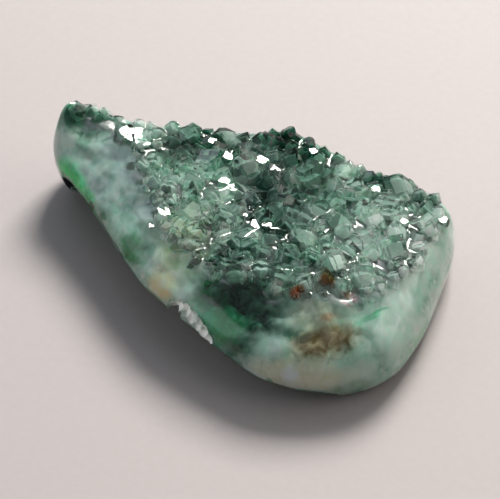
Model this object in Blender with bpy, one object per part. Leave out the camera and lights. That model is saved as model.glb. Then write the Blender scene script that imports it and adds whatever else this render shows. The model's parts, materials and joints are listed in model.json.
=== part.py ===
"""A polished freeform of gem silica: green chalcedony whose top is a crust of clear quartz crystals.

The stone is drop shaped, with a blunt tail and a round head. Its flanks are ground and polished, and
its top is left as nature grew it. Its back is flat, and a natural hollow runs in under one long edge.
It all grew as one piece, so it is one solid: every crystal is joined to the stone that it grew from.

Metres, +Z up. X runs from tail to head, and the origin is under the middle of the stone, on the
surface that it lies on.
"""

import math
import random

import bmesh
import bpy
import numpy as np
from mathutils import Matrix, Vector, noise
from mathutils.geometry import delaunay_2d_cdt

MM = 0.001

# Driving dimensions
LENGTH = 27.8 * MM  # from tail to head
WIDTH = 17.4 * MM  # across the head
TABLE = 4.3 * MM  # height of the rim that the crystals stand on
CROWN = 0.8 * MM  # how much higher the middle of the top is
CRYSTAL = 0.90 * MM  # radius of the largest crystals

# The edge of the stone, seen from above, as stations round it from the head. Each has its place along
# and across, in shares of LENGTH and WIDTH, and then three sizes in millimetres: how high the edge
# stands, how wide the domed flank above it is, and how far the flat back stays inside it.
STATIONS = [
    (0.497, -0.147, 1.2, 2.9, 1.1),
    (0.486, 0.003, 1.2, 2.3, 1.1),
    (0.466, 0.129, 1.3, 1.7, 1.2),
    (0.441, 0.262, 1.4, 1.3, 1.3),
    (0.415, 0.378, 1.4, 1.0, 1.4),
    (0.377, 0.468, 1.4, 1.0, 1.4),
    (0.310, 0.497, 1.4, 1.0, 1.4),
    (0.220, 0.474, 1.5, 1.0, 1.4),
    (0.125, 0.460, 1.5, 1.0, 1.4),
    (0.030, 0.462, 1.5, 1.0, 1.4),
    (-0.045, 0.430, 1.5, 1.0, 1.4),
    (-0.130, 0.340, 1.5, 1.0, 1.4),
    (-0.220, 0.265, 1.6, 0.9, 1.4),
    (-0.300, 0.175, 1.8, 0.8, 1.4),
    (-0.385, 0.140, 2.0, 0.8, 1.5),
    (-0.462, 0.110, 2.4, 0.7, 1.7),
    (-0.500, 0.035, 2.8, 0.7, 1.9),
    (-0.494, -0.045, 3.0, 0.9, 1.9),
    (-0.458, -0.108, 3.0, 1.8, 1.8),
    (-0.396, -0.157, 2.9, 2.8, 1.7),
    (-0.330, -0.208, 2.8, 3.3, 1.6),
    (-0.266, -0.258, 2.6, 3.4, 1.6),
    (-0.195, -0.322, 2.5, 3.2, 1.6),
    (-0.130, -0.376, 2.4, 2.9, 1.6),
    (-0.053, -0.428, 2.3, 2.5, 1.6),
    (0.050, -0.460, 2.1, 2.3, 1.6),
    (0.150, -0.486, 1.9, 2.6, 1.6),
    (0.260, -0.503, 1.6, 3.3, 1.6),
    (0.325, -0.486, 1.5, 3.9, 1.5),
    (0.380, -0.442, 1.4, 4.2, 1.4),
    (0.430, -0.380, 1.3, 4.0, 1.2),
    (0.470, -0.297, 1.2, 3.6, 1.1),
    (0.490, -0.222, 1.2, 3.2, 1.1),
]
AROUND = 72  # points round the edge
FLANK_STEPS = 4
BACK_STEPS = 2

# The line that the flank is measured towards, from the tail to the middle of the head
SPINE = ((-0.380, 0.010), (0.240, -0.010))

# Hollows and knolls of the top: place in shares of LENGTH and WIDTH, height and reach in millimetres
DIPS = [
    (0.020, 0.100, -0.9, 1.4),
    (0.090, 0.230, -0.9, 1.3),
    (0.085, -0.190, -0.6, 1.2),
    (-0.190, 0.060, -0.4, 1.5),
    (-0.035, 0.400, 0.6, 1.6),
    (-0.490, 0.020, 0.8, 1.1),
]
RIPPLE = 0.22 * MM
RIPPLE_SIZE = 2.2 * MM

# Where the crust of quartz grows, seen from above, in shares of LENGTH and WIDTH. Its far side runs past
# the edge of the stone, so the crust reaches the rim there. The rest of the top is polished flank.
CRUST = [
    (-0.55, 0.030),
    (-0.45, 0.000),
    (-0.40, 0.060),
    (-0.345, 0.060),
    (-0.260, -0.040),
    (-0.180, -0.115),
    (-0.135, -0.185),
    (-0.075, -0.250),
    (0.005, -0.305),
    (0.080, -0.335),
    (0.165, -0.305),
    (0.250, -0.255),
    (0.335, -0.125),
    (0.405, -0.080),
    (0.440, 0.060),
    (0.480, 0.200),
    (0.480, 0.550),
    (-0.55, 0.550),
]

# The hollow under the long edge: the middle of its mouth from above in shares of LENGTH and WIDTH, and
# its height there in millimetres
HOLLOW = [
    (-0.440, -0.130, 3.2),
    (-0.270, -0.270, 2.7),
    (0.000, -0.455, 2.3),
    (0.250, -0.520, 1.6),
    (0.440, -0.430, 1.1),
]
HOLLOW_DEPTH = 4.2 * MM
HOLLOW_ENDS = 5  # how blunt its ends are: 2 is an ellipse's end, and more is blunter
HOLLOW_STEPS = 14  # along it
HOLLOW_SIDES = 14  # round it

# A chip out of the same edge
CHIP_AT = (0.027, -0.460, 1.2)
CHIP_SIZE = (0.60 * MM, 1.0 * MM, 1.7 * MM)

# The crust's crystals
SEED = 5
CRYSTAL_TRIES = 9000
SMALLEST = 0.54  # of the largest crystals' radius, at the rim of the tail
SPACING = 1.29  # between two crystals, in radii
HABITS = 10  # different crystals, which turned and scaled make up the crust
RHOMB_SLOPE = math.radians(51.8)  # from the crystal's axis to the normal of a face of its point
PRISM = 1.4  # height of a crystal over its shoulder before its point is cut, in radii
ROOT = 1.5  # how deep a crystal's foot goes, in radii
MOST_LEAN = math.radians(24)

GREEN_QUARTZ = (0.16, 0.36, 0.27, 1.0)


def on_plan(share):
    """A place given in shares of the length and width, in metres."""
    return Vector((share[0] * LENGTH, share[1] * WIDTH))


def smooth_row(rows, share, closed):
    """The row at a share of the way along rows of numbers, on a smooth curve through all of them."""
    count = len(rows)
    place = share * (count if closed else count - 1)
    i = min(int(place), count - 1 if closed else count - 2)
    t = place - i
    k = [j % count if closed else min(max(j, 0), count - 1) for j in (i - 1, i, i + 1, i + 2)]
    a, b, c, d = (rows[j] for j in k)
    return 0.5 * (2 * b + (c - a) * t + (2 * a - 5 * b + 4 * c - d) * t**2 + (3 * b - a - 3 * c + d) * t**3)


def edge_points():
    """(place, height, flank width, back inset) of points round the edge, equally far apart."""
    rows = [np.array((s[0] * LENGTH, s[1] * WIDTH, *(size * MM for size in s[2:]))) for s in STATIONS]
    fine = 20 * len(rows)
    dense = np.array([smooth_row(rows, k / fine, True) for k in range(fine + 1)])
    steps = np.linalg.norm(np.diff(dense[:, :2], axis=0), axis=1)
    far = np.concatenate(([0], np.cumsum(steps)))
    want = np.linspace(0, far[-1], AROUND, endpoint=False)
    found = np.column_stack([np.interp(want, far, column) for column in dense.T])
    return [(Vector(row[:2]), *row[2:]) for row in found.tolist()]


def middle_of_edge(edge):
    """The middle of the stone seen from above, which the finished stone is moved to."""
    xs, ys = zip(*(point[0] for point in edge))
    return Vector(((min(xs) + max(xs)) / 2, (min(ys) + max(ys)) / 2, 0))


def nearest_on_spine(p):
    a, b = map(on_plan, SPINE)
    share = (p - a).dot(b - a) / (b - a).length_squared
    return a.lerp(b, min(max(share, 0), 1))


def inwards(p):
    return (nearest_on_spine(p) - p).normalized()


def table_height(p):
    """Height of the stone under the crust at a place seen from above."""
    reach = WIDTH / 2
    height = TABLE + CROWN * (1 - min((p - nearest_on_spine(p)).length / reach, 1) ** 2)
    for along, across, rise, width in DIPS:
        far = (p - on_plan((along, across))).length / (width * MM)
        height += rise * MM * math.exp(-far * far)
    return height + RIPPLE * noise.noise(Vector((p.x, p.y, 0)) / RIPPLE_SIZE)


def inside(p, outline):
    """Whether a place lies inside a closed outline."""
    count = False
    for a, b in zip(outline, outline[1:] + outline[:1]):
        if (a.y > p.y) != (b.y > p.y) and p.x < a.x + (b.x - a.x) * (p.y - a.y) / (b.y - a.y):
            count = not count
    return count


def back_ring(edge, turn):
    """Places on the rounding between the flat back (a quarter turn) and the edge (no turn)."""
    found = []
    for p, lip, _, back in edge:
        q = p + inwards(p) * back * (1 - math.cos(turn))
        found.append((*q, lip * (1 - math.sin(turn))))
    return found


def flank_ring(edge, turn):
    """Places on the domed flank between the edge (no turn) and the top (a quarter turn)."""
    found = []
    for p, lip, run, _ in edge:
        q = p + inwards(p) * run * (1 - math.cos(turn))
        found.append((*q, lip + (table_height(q) - lip) * math.sin(turn)))
    return found


def fill_table(bm, shoulder):
    """Fills the top inside the shoulder with triangles, over a grid of points one crystal apart."""
    outline = [v.co.xy for v in shoulder]
    step = 2 * CRYSTAL
    inner = []
    for i in range(int(LENGTH / step) + 1):
        for j in range(int(WIDTH / step) + 1):
            q = Vector(((i + 0.5 * (j % 2)) * step - LENGTH / 2, j * step - WIDTH / 2))
            if inside(q, outline) and min((q - o).length for o in outline) > 0.6 * step:
                inner.append(q)
    places, _, faces, *_ = delaunay_2d_cdt(outline + inner, [], [list(range(len(outline)))], 1, 1e-7)
    verts = list(shoulder)
    verts += [bm.verts.new((*q, table_height(q))) for q in places[len(shoulder):]]
    for face in faces:
        bm.faces.new([verts[k] for k in face])


def finished(bm, name):
    mesh = bpy.data.meshes.new(name)
    bm.to_mesh(mesh)
    bm.free()
    return mesh


def stone_mesh(edge):
    """The ground and polished stone: flat back, rounded edge, domed flank and rippled top."""
    quarter = math.pi / 2
    levels = [back_ring(edge, quarter * k / BACK_STEPS) for k in range(BACK_STEPS, 0, -1)]
    levels += [flank_ring(edge, quarter * k / FLANK_STEPS) for k in range(FLANK_STEPS + 1)]
    bm = bmesh.new()
    rings = [[bm.verts.new(place) for place in level] for level in levels]
    for lower, upper in zip(rings, rings[1:]):
        for i in range(AROUND):
            j = (i + 1) % AROUND
            bm.faces.new((lower[i], lower[j], upper[j], upper[i]))
    fill_table(bm, rings[-1])
    for face in bm.faces:
        face.smooth = True
    bm.faces.new(list(reversed(rings[0])))
    bmesh.ops.recalc_face_normals(bm, faces=bm.faces)
    return finished(bm, "stone")


def hollow_mesh():
    """The cutter for the hollow: a long blunt lump that follows the edge."""
    rows = [np.array((x * LENGTH, y * WIDTH, height * MM)) for x, y, height in HOLLOW]
    bm = bmesh.new()
    rings = []
    for k in range(1, HOLLOW_STEPS):
        place = -math.cos(math.pi * k / HOLLOW_STEPS)  # from -1 at the tail's end to 1 at the head's
        size = (1 - abs(place) ** HOLLOW_ENDS) ** (1 / HOLLOW_ENDS)
        x, y, height = smooth_row(rows, (place + 1) / 2, False)
        behind, ahead = (smooth_row(rows, (place + 1 + step) / 2, False) for step in (-0.01, 0.01))
        along = Vector((ahead - behind)[:2]).normalized()
        ring = []
        for i in range(HOLLOW_SIDES):
            turn = math.tau * i / HOLLOW_SIDES
            rough = size * (1 + 0.12 * noise.noise(Vector((5 * place, math.cos(turn), math.sin(turn)))))
            aside = HOLLOW_DEPTH * rough * math.cos(turn)
            spot = (x - along.y * aside, y + along.x * aside, height * rough * math.sin(turn))
            ring.append(bm.verts.new(spot))
        rings.append(ring)
    for ring, after in zip(rings, rings[1:]):
        for i in range(HOLLOW_SIDES):
            j = (i + 1) % HOLLOW_SIDES
            bm.faces.new((ring[i], ring[j], after[j], after[i]))
    bm.faces.new(rings[0])
    bm.faces.new(list(reversed(rings[-1])))
    bmesh.ops.recalc_face_normals(bm, faces=bm.faces)
    return finished(bm, "hollow_cutter")


def chip_mesh():
    x, y, height = CHIP_AT
    bm = bmesh.new()
    bmesh.ops.create_icosphere(bm, subdivisions=2, radius=1)
    bmesh.ops.scale(bm, vec=CHIP_SIZE, verts=bm.verts)
    bmesh.ops.translate(bm, vec=(*on_plan((x, y)), height * MM), verts=bm.verts)
    return finished(bm, "chip_cutter")


def crystal_mesh(name, rng):
    """A quartz crystal of radius 1 with its shoulder at height 0: six sides and a point of six faces.

    Each face of the point is cut at its own distance, which sets the tip off the axis and makes
    large and small faces in turn, as on real quartz.
    """
    bm = bmesh.new()
    bmesh.ops.create_cone(bm, cap_ends=True, segments=6, radius1=1, radius2=1, depth=ROOT + PRISM)
    bmesh.ops.translate(bm, vec=(0, 0, (PRISM - ROOT) / 2), verts=bm.verts)
    level = math.cos(math.pi / 6) * math.sin(RHOMB_SLOPE)  # where a point's face starts at the shoulder
    for k in range(6):
        turn = math.radians(60 * k + 30)
        normal = Matrix.Rotation(turn, 3, "Z") @ Vector((math.sin(RHOMB_SLOPE), 0, math.cos(RHOMB_SLOPE)))
        large = k % 2 == 0
        share = rng.uniform(0.70, 0.96) if large else rng.uniform(1.00, 1.32)
        everything = bm.verts[:] + bm.edges[:] + bm.faces[:]
        found = bmesh.ops.bisect_plane(
            bm, geom=everything, plane_co=normal * level * share, plane_no=normal, clear_outer=True
        )
        rim = [e for e in found["geom_cut"] if isinstance(e, bmesh.types.BMEdge)]
        bmesh.ops.holes_fill(bm, edges=rim, sides=0)
    bmesh.ops.recalc_face_normals(bm, faces=bm.faces)
    return finished(bm, name)


def crystal_places(edge, rng):
    """(place, radius) of each crystal: larger in the middle and the head, smaller by the rim."""
    shoulder = [p + inwards(p) * run * 0.9 for p, _, run, _ in edge]
    crust = [on_plan(corner) for corner in CRUST]
    found = []
    for _ in range(CRYSTAL_TRIES):
        p = on_plan((rng.uniform(-0.5, 0.5), rng.uniform(-0.5, 0.5)))
        if not (inside(p, shoulder) and inside(p, crust)):
            continue
        rim = min((p - s).length for s in shoulder)
        middle = min(rim / (3 * MM), 1) * min(max(0.95 + 1.6 * p.x / LENGTH, 0), 1)
        radius = CRYSTAL * (SMALLEST + (1 - SMALLEST) * middle) * rng.uniform(0.80, 1.10)
        if rim > 0.3 * radius and all((p - q).length > SPACING * (radius + r) / 2 for q, r in found):
            found.append((p, radius))
    return found


def crystal_turn(p, rng):
    """How a crystal stands: roughly upright, leaning a little outwards near the rim, and turned."""
    away = p - nearest_on_spine(p)
    lean = min(away.length / (WIDTH / 2), 1) * math.radians(14)
    outward = Matrix.Rotation(lean, 3, Vector((-away.y, away.x, 0)).normalized())
    heading = rng.uniform(0, math.tau)
    tilt = Matrix.Rotation(MOST_LEAN * rng.random() ** 0.7, 3, (math.cos(heading), math.sin(heading), 0))
    return (outward @ tilt @ Matrix.Rotation(rng.uniform(0, math.tau), 3, "Z")).to_4x4()


def helper(name, mesh, collection):
    """An object that only cuts or joins, and isn't a piece of the stone itself."""
    obj = bpy.data.objects.new(name, mesh)
    obj.hide_render = True
    obj.display_type = "WIRE"
    collection.objects.link(obj)
    return obj


def grow_crust(edge, centre):
    """A collection with one helper for each crystal of the crust."""
    crust = bpy.data.collections.new("crust")
    bpy.context.scene.collection.children.link(crust)
    rng = random.Random(SEED)
    habits = [crystal_mesh(f"crystal_habit_{k}", rng) for k in range(HABITS)]
    for i, (p, radius) in enumerate(crystal_places(edge, rng)):
        crystal = helper(f"crystal_{i:03d}", habits[i % HABITS], crust)
        shoulder = Vector((*p, table_height(p) + radius * rng.uniform(-0.25, 0.30))) - centre
        turned = crystal_turn(p, rng) @ Matrix.Scale(radius, 4)
        crystal.matrix_world = Matrix.Translation(shoulder) @ turned
    return crust


def stone_material():
    material = bpy.data.materials.new("green_chalcedony_and_quartz")
    material.use_nodes = True
    shader = material.node_tree.nodes["Principled BSDF"]
    shader.inputs["Base Color"].default_value = GREEN_QUARTZ
    shader.inputs["Roughness"].default_value = 0.12
    shader.inputs["IOR"].default_value = 1.54
    shader.inputs["Transmission Weight"].default_value = 0.3
    return material


def build():
    for obj in list(bpy.data.objects):
        bpy.data.objects.remove(obj)
    edge = edge_points()
    centre = middle_of_edge(edge)
    scene = bpy.context.scene.collection
    meshes = [stone_mesh(edge), hollow_mesh(), chip_mesh()]
    for mesh in meshes:
        mesh.transform(Matrix.Translation(-centre))
    stone = bpy.data.objects.new("stone", meshes[0])
    scene.objects.link(stone)
    stone.data.materials.append(stone_material())
    join = stone.modifiers.new("crust", "BOOLEAN")
    join.operation = "UNION"
    join.operand_type = "COLLECTION"
    join.collection = grow_crust(edge, centre)
    for mesh in meshes[1:]:
        cut = stone.modifiers.new(mesh.name, "BOOLEAN")
        cut.operation = "DIFFERENCE"
        cut.object = helper(mesh.name, mesh, scene)


build()
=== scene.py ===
# %% [markdown]
# # A polished freeform of gem silica
#
# The stone is green chalcedony, a quartz so fine grained that it looks like milky jelly, coloured by
# copper. Its top is a crust of clear quartz crystals, and its flanks and its back are ground and polished.
# This lesson builds it as it is made: a cloudy inner body that light soaks into, and a clear quartz skin
# with the crystals on it, through which the inner body is seen.
#
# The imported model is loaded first. It gives the stone's exact place and size, and it never changes.

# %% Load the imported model
import json
import math
import random

import bmesh
import bpy
import numpy as np
from mathutils import Euler, Matrix, Vector, noise
from mathutils.geometry import delaunay_2d_cdt

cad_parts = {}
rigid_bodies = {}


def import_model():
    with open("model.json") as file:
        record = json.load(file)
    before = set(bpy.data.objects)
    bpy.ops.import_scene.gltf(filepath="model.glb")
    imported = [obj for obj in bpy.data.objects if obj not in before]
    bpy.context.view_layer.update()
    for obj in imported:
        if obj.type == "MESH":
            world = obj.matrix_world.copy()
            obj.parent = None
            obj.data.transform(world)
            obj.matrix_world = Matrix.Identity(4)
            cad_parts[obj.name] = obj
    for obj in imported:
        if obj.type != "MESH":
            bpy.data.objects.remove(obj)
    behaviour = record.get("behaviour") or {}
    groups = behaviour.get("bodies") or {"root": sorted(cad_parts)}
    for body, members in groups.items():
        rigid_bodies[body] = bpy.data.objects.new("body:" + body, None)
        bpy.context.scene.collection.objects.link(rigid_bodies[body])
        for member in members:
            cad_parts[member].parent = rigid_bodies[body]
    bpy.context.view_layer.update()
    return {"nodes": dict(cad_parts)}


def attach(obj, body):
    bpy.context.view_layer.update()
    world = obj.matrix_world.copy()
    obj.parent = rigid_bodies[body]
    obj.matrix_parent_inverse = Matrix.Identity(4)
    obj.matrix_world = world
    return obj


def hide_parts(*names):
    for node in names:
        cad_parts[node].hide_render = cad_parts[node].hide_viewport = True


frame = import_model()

MM = 0.001
print("nodes of the packed model:", sorted(frame["nodes"]))

# %% [markdown]
# ## The camera
#
# Seen from above the tail points left and away, and the camera looks down at 45 degrees from the side with
# the hollow. A long lens keeps the shape almost free of perspective, as in close-up photographs that are
# taken from some way off. It aims at a point on the surface near the middle of the stone.

# %% Make the camera
CAMERA_TURN = math.radians(35)
CAMERA_RISE = math.radians(45)
CAMERA_FAR = 208 * MM
AIM = Vector((0.152, 1.108, 0)) * MM


def seen_from(turn, rise):
    """The direction from the stone towards a place that is turned from -Y and raised from the surface."""
    return Vector((math.sin(turn) * math.cos(rise), -math.cos(turn) * math.cos(rise), math.sin(rise)))


def look_at(obj, place, target):
    """Puts an object at a place, looking at a target, and adds it to the scene."""
    turned = (place - target).to_track_quat("Z", "Y").to_matrix().to_4x4()
    obj.matrix_world = Matrix.Translation(place) @ turned
    bpy.context.scene.collection.objects.link(obj)


camera_data = bpy.data.cameras.new("camera")
camera_data.lens = 240
camera_data.sensor_width = 36
camera_data.clip_start = 1 * MM
camera = bpy.data.objects.new("camera", camera_data)
look_at(camera, AIM + seen_from(CAMERA_TURN, CAMERA_RISE) * CAMERA_FAR, AIM)
bpy.context.scene.camera = camera
print("camera at", [round(c / MM, 1) for c in camera.location], "mm")

# %% [markdown]
# ## Colours and nodes
#
# Colours are written as the hex values that a colour picker shows. A renderer calculates with amounts of
# light, so one function turns them to linear values. A second function adds a node with its settings and
# links, which keeps each material and each tree short enough to read.

# %% Colour and node helpers


def linear(hex_colour):
    """An sRGB hex colour as linear red, green, blue and a full alpha."""
    parts = [int(hex_colour[k:k + 2], 16) / 255 for k in (1, 3, 5)]
    return tuple(c / 12.92 if c < 0.04045 else ((c + 0.055) / 1.055) ** 2.4 for c in parts) + (1.0,)


def add(tree, kind, inputs={}, **settings):
    """Adds a node. An input is given a value, a socket, a node for its first output, or a list of these."""
    node = tree.nodes.new(kind)
    for name, value in settings.items():
        setattr(node, name, value)
    for key, value in inputs.items():
        for feed in value if isinstance(value, list) else [value]:
            if isinstance(feed, bpy.types.Node):
                feed = feed.outputs[0]
            if isinstance(feed, bpy.types.NodeSocket):
                tree.links.new(feed, node.inputs[key])
            else:
                node.inputs[key].default_value = feed
    return node


def new_material(name):
    """A material with nodes, its node tree and its shader."""
    material = bpy.data.materials.new(name)
    material.use_nodes = True
    return material, material.node_tree, material.node_tree.nodes["Principled BSDF"]


print("pure green in linear light:", linear("#00FF00"))

# %% [markdown]
# ## The edge of the stone
#
# A lapidary grinds such a stone freehand, so its outline follows no rule. It is measured as stations round
# the edge from the head, with a smooth curve through them. Each station has its place in shares of the
# length and width, and three sizes in millimetres: how high the edge stands, how wide the domed flank above
# it is, and how far the flat back stays inside it.

# %% The outline
LENGTH = 27.8 * MM
WIDTH = 17.4 * MM
STATIONS = [
    (0.497, -0.147, 1.2, 2.9, 1.1),
    (0.486, 0.003, 1.2, 2.3, 1.1),
    (0.466, 0.129, 1.3, 1.7, 1.2),
    (0.441, 0.262, 1.4, 1.3, 1.3),
    (0.415, 0.378, 1.4, 1.0, 1.4),
    (0.377, 0.468, 1.4, 1.0, 1.4),
    (0.310, 0.497, 1.4, 1.0, 1.4),
    (0.220, 0.474, 1.5, 1.0, 1.4),
    (0.125, 0.460, 1.5, 1.0, 1.4),
    (0.030, 0.462, 1.5, 1.0, 1.4),
    (-0.045, 0.430, 1.5, 1.0, 1.4),
    (-0.130, 0.340, 1.5, 1.0, 1.4),
    (-0.220, 0.265, 1.6, 0.9, 1.4),
    (-0.300, 0.175, 1.8, 0.8, 1.4),
    (-0.385, 0.140, 2.0, 0.8, 1.5),
    (-0.462, 0.110, 2.4, 0.7, 1.7),
    (-0.500, 0.035, 2.8, 0.7, 1.9),
    (-0.494, -0.045, 3.0, 0.9, 1.9),
    (-0.458, -0.108, 3.0, 1.8, 1.8),
    (-0.396, -0.157, 2.9, 2.8, 1.7),
    (-0.330, -0.208, 2.8, 3.3, 1.6),
    (-0.266, -0.258, 2.6, 3.4, 1.6),
    (-0.195, -0.322, 2.5, 3.2, 1.6),
    (-0.130, -0.376, 2.4, 2.9, 1.6),
    (-0.053, -0.428, 2.3, 2.5, 1.6),
    (0.050, -0.460, 2.1, 2.3, 1.6),
    (0.150, -0.486, 1.9, 2.6, 1.6),
    (0.260, -0.503, 1.6, 3.3, 1.6),
    (0.325, -0.486, 1.5, 3.9, 1.5),
    (0.380, -0.442, 1.4, 4.2, 1.4),
    (0.430, -0.380, 1.3, 4.0, 1.2),
    (0.470, -0.297, 1.2, 3.6, 1.1),
    (0.490, -0.222, 1.2, 3.2, 1.1),
]
SPINE = ((-0.380, 0.010), (0.240, -0.010))  # the line that the flank is measured towards
BETWEEN = 20  # steps from one station to the next when the edge is measured
COARSE = 72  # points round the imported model's edge, which the crystals are placed by
FINE = 288  # points round this stone's edge


def on_plan(share):
    """A place given in shares of the length and width, in metres."""
    return Vector((share[0] * LENGTH, share[1] * WIDTH))


def smooth_row(rows, share, closed):
    """The row at a share of the way along rows of numbers, on a smooth curve through all of them."""
    count = len(rows)
    place = share * (count if closed else count - 1)
    i = min(int(place), count - 1 if closed else count - 2)
    t = place - i
    k = [j % count if closed else min(max(j, 0), count - 1) for j in (i - 1, i, i + 1, i + 2)]
    a, b, c, d = (rows[j] for j in k)
    return 0.5 * (2 * b + (c - a) * t + (2 * a - 5 * b + 4 * c - d) * t**2 + (3 * b - a - 3 * c + d) * t**3)


def edge_points(around):
    """(place, height, flank width, back inset) of points round the edge, equally far apart."""
    rows = [np.array((s[0] * LENGTH, s[1] * WIDTH, *(size * MM for size in s[2:]))) for s in STATIONS]
    fine = BETWEEN * len(rows)
    dense = np.array([smooth_row(rows, k / fine, True) for k in range(fine + 1)])
    steps = np.linalg.norm(np.diff(dense[:, :2], axis=0), axis=1)
    far = np.concatenate(([0], np.cumsum(steps)))
    want = np.linspace(0, far[-1], around, endpoint=False)
    found = np.column_stack([np.interp(want, far, column) for column in dense.T])
    return [(Vector(row[:2]), *row[2:]) for row in found.tolist()]


def middle_of_edge(edge):
    """The middle of the stone seen from above, which the finished stone is moved to."""
    xs, ys = zip(*(point[0] for point in edge))
    return Vector(((min(xs) + max(xs)) / 2, (min(ys) + max(ys)) / 2, 0))


edge = edge_points(COARSE)
centre = middle_of_edge(edge)
print("the outline's middle is", [round(c / MM, 3) for c in centre], "mm from the drawing's origin")

# %% [markdown]
# ## The form of the top
#
# The top is a low crown with a few dips and knolls in it, on which the crystals stand. Its height is worked
# out at any place seen from above, so the same rule carries the flank, the top and every crystal.

# %% The top's height
TABLE = 4.3 * MM
CROWN = 0.8 * MM
# Place in shares of the length and width, then height and reach in millimetres
DIPS = [
    (0.020, 0.100, -0.9, 1.4),
    (0.090, 0.230, -0.9, 1.3),
    (0.085, -0.190, -0.6, 1.2),
    (-0.190, 0.060, -0.4, 1.5),
    (-0.035, 0.400, 0.6, 1.6),
    (-0.490, 0.020, 0.8, 1.1),
]
RIPPLE = 0.22 * MM
RIPPLE_SIZE = 2.2 * MM


def nearest_on_spine(p):
    a, b = map(on_plan, SPINE)
    share = (p - a).dot(b - a) / (b - a).length_squared
    return a.lerp(b, min(max(share, 0), 1))


def inwards(p):
    return (nearest_on_spine(p) - p).normalized()


def table_height(p):
    """Height of the stone under the crust at a place seen from above."""
    reach = WIDTH / 2
    height = TABLE + CROWN * (1 - min((p - nearest_on_spine(p)).length / reach, 1) ** 2)
    for along, across, rise, width in DIPS:
        far = (p - on_plan((along, across))).length / (width * MM)
        height += rise * MM * math.exp(-far * far)
    return height + RIPPLE * noise.noise(Vector((p.x, p.y, 0)) / RIPPLE_SIZE)


print("height over the middle:", round(table_height(Vector((0, 0))) / MM, 2), "mm")

# %% [markdown]
# ## The ground body
#
# Rings of points rise from the flat back over the rounded edge and the domed flank, and a triangulated grid
# fills the top. A loft of rings suits a stone that a wheel rounded off on all sides. The rings are fine
# enough for the polish to reflect without flat spots, and a slight waviness is left in, because a surface
# that is ground by hand is never quite true.

# %% Build the body
FLANK_STEPS = 16
BACK_STEPS = 6
TABLE_STEP = 0.45 * MM
TABLE_GAP = 0.6  # least gap between the shoulder and the grid's points, in steps
WAVE = 0.05 * MM  # depth of the waviness that grinding by hand leaves
WAVE_SIZE = 2.6 * MM
WAVE_FROM = 1.5 * MM  # height from which the waviness is full, so that the back stays flat


def inside(p, outline):
    """Whether a place lies inside a closed outline."""
    count = False
    for a, b in zip(outline, outline[1:] + outline[:1]):
        if (a.y > p.y) != (b.y > p.y) and p.x < a.x + (b.x - a.x) * (p.y - a.y) / (b.y - a.y):
            count = not count
    return count


def back_ring(edge, turn):
    """Places on the rounding between the flat back (a quarter turn) and the edge (no turn)."""
    found = []
    for p, lip, _, back in edge:
        q = p + inwards(p) * back * (1 - math.cos(turn))
        found.append((*q, lip * (1 - math.sin(turn))))
    return found


def flank_ring(edge, turn):
    """Places on the domed flank between the edge (no turn) and the top (a quarter turn)."""
    found = []
    for p, lip, run, _ in edge:
        q = p + inwards(p) * run * (1 - math.cos(turn))
        found.append((*q, lip + (table_height(q) - lip) * math.sin(turn)))
    return found


def fill_table(bm, shoulder):
    """Fills the top inside the shoulder with triangles, over a staggered grid of points."""
    outline = [v.co.xy for v in shoulder]
    near = np.array([tuple(p) for p in outline])
    inner = []
    for i in range(int(LENGTH / TABLE_STEP) + 1):
        for j in range(int(WIDTH / TABLE_STEP) + 1):
            q = Vector(((i + 0.5 * (j % 2)) * TABLE_STEP - LENGTH / 2, j * TABLE_STEP - WIDTH / 2))
            if np.hypot(*(near - tuple(q)).T).min() > TABLE_GAP * TABLE_STEP and inside(q, outline):
                inner.append(q)
    places, _, faces, *_ = delaunay_2d_cdt(outline + inner, [], [list(range(len(outline)))], 1, 1e-7)
    verts = list(shoulder)
    verts += [bm.verts.new((*q, table_height(q))) for q in places[len(shoulder):]]
    for face in faces:
        bm.faces.new([verts[k] for k in face])


def finished(bm, name):
    """The mesh of what was modelled, moved to the stone's place."""
    bmesh.ops.recalc_face_normals(bm, faces=bm.faces)
    mesh = bpy.data.meshes.new(name)
    bm.to_mesh(mesh)
    bm.free()
    mesh.transform(Matrix.Translation(-centre))
    return mesh


def body_mesh(name):
    edge = edge_points(FINE)
    quarter = math.pi / 2
    levels = [back_ring(edge, quarter * k / BACK_STEPS) for k in range(BACK_STEPS, 0, -1)]
    levels += [flank_ring(edge, quarter * k / FLANK_STEPS) for k in range(FLANK_STEPS + 1)]
    bm = bmesh.new()
    rings = [[bm.verts.new(place) for place in level] for level in levels]
    for lower, upper in zip(rings, rings[1:]):
        for i in range(FINE):
            j = (i + 1) % FINE
            bm.faces.new((lower[i], lower[j], upper[j], upper[i]))
    fill_table(bm, rings[-1])
    for face in bm.faces:
        face.smooth = True
    bm.faces.new(list(reversed(rings[0])))
    bm.normal_update()
    for v in bm.verts:
        share = min(v.co.z / WAVE_FROM, 1)
        v.co += v.normal * WAVE * share * noise.noise(v.co / WAVE_SIZE)
    return finished(bm, name)


body = body_mesh("ground_body")
print("the body has", len(body.vertices), "points")

# %% [markdown]
# ## What is missing from the stone
#
# A natural hollow runs in under one long edge, a chip is out of the same edge, and beside the chip the thin
# lip has broken off and shows a rough face like lump sugar. Each is a lump of the missing shape, which is
# cut away. The lumps are rough where the real hollow and breaks are rough. They can be made a little
# larger, which keeps the inner body clear of the walls.

# %% Build the cutters
# The hollow's mouth from above in shares of the length and width, and its height there in millimetres
HOLLOW = [
    (-0.440, -0.130, 3.2),
    (-0.270, -0.270, 2.7),
    (0.000, -0.455, 2.3),
    (0.250, -0.520, 1.6),
    (0.440, -0.430, 1.1),
]
HOLLOW_DEPTH = 4.2 * MM
HOLLOW_ENDS = 5  # how blunt its ends are: 2 is an ellipse's end, and more is blunter
HOLLOW_UNEVEN = 0.12  # share by which its wall comes and goes
HOLLOW_STEPS = 90
HOLLOW_SIDES = 48
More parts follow.
